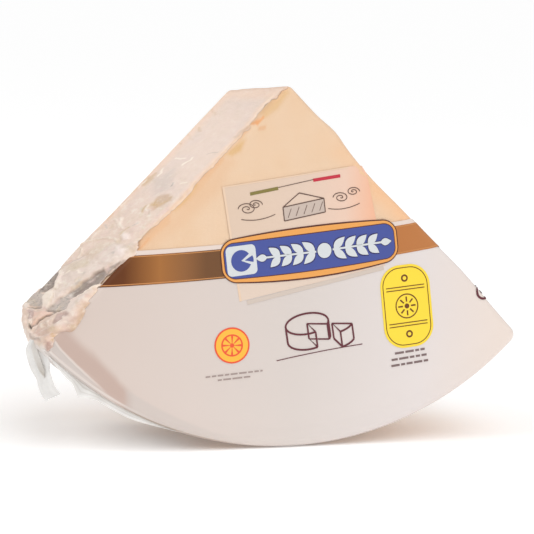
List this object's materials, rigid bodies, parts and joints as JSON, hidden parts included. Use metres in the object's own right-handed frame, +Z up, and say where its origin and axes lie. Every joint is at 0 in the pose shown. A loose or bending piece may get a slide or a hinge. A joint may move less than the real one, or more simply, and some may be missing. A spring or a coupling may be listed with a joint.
{
  "type": "vacuum-packed hard cheese wedge",
  "caption": "Quarter-circle wedge of hard grating cheese, half a wheel high, sealed in clear and printed vacuum film, standing on its curved rind heel.",
  "frame": {"origin": "middle of the small flat on the heel that the wedge rests on", "axes": "+Z up; -Y out of the printed cut face, level; +X to the right for someone who faces that cut face, along the wedge's chord"},
  "size_m": [0.2986, 0.1182, 0.2084],
  "materials": {
    "packed_cheese": "pale straw cheese under tight glossy film",
    "cheese_paste": "finely grained pale straw paste with small white specks",
    "rind": "smooth amber to brown rind, dull",
    "clear_film": "clear glossy shrink film, milky where it is crumpled",
    "white_print": "warm white ink under glossy film",
    "copper_print": "copper-brown metallic ink band",
    "card_print": "parchment-coloured ink panel",
    "blue_print": "violet-blue ink with gold and dark brown rims",
    "yellow_print": "bright yellow ink",
    "wine_print": "wine-red ink"
  },
  "bodies": {
    "root": {"sealed_pack": "packed_cheese", "film_tail": "clear_film", "film_seam_fin": "clear_film"}
  },
  "joints": []
}
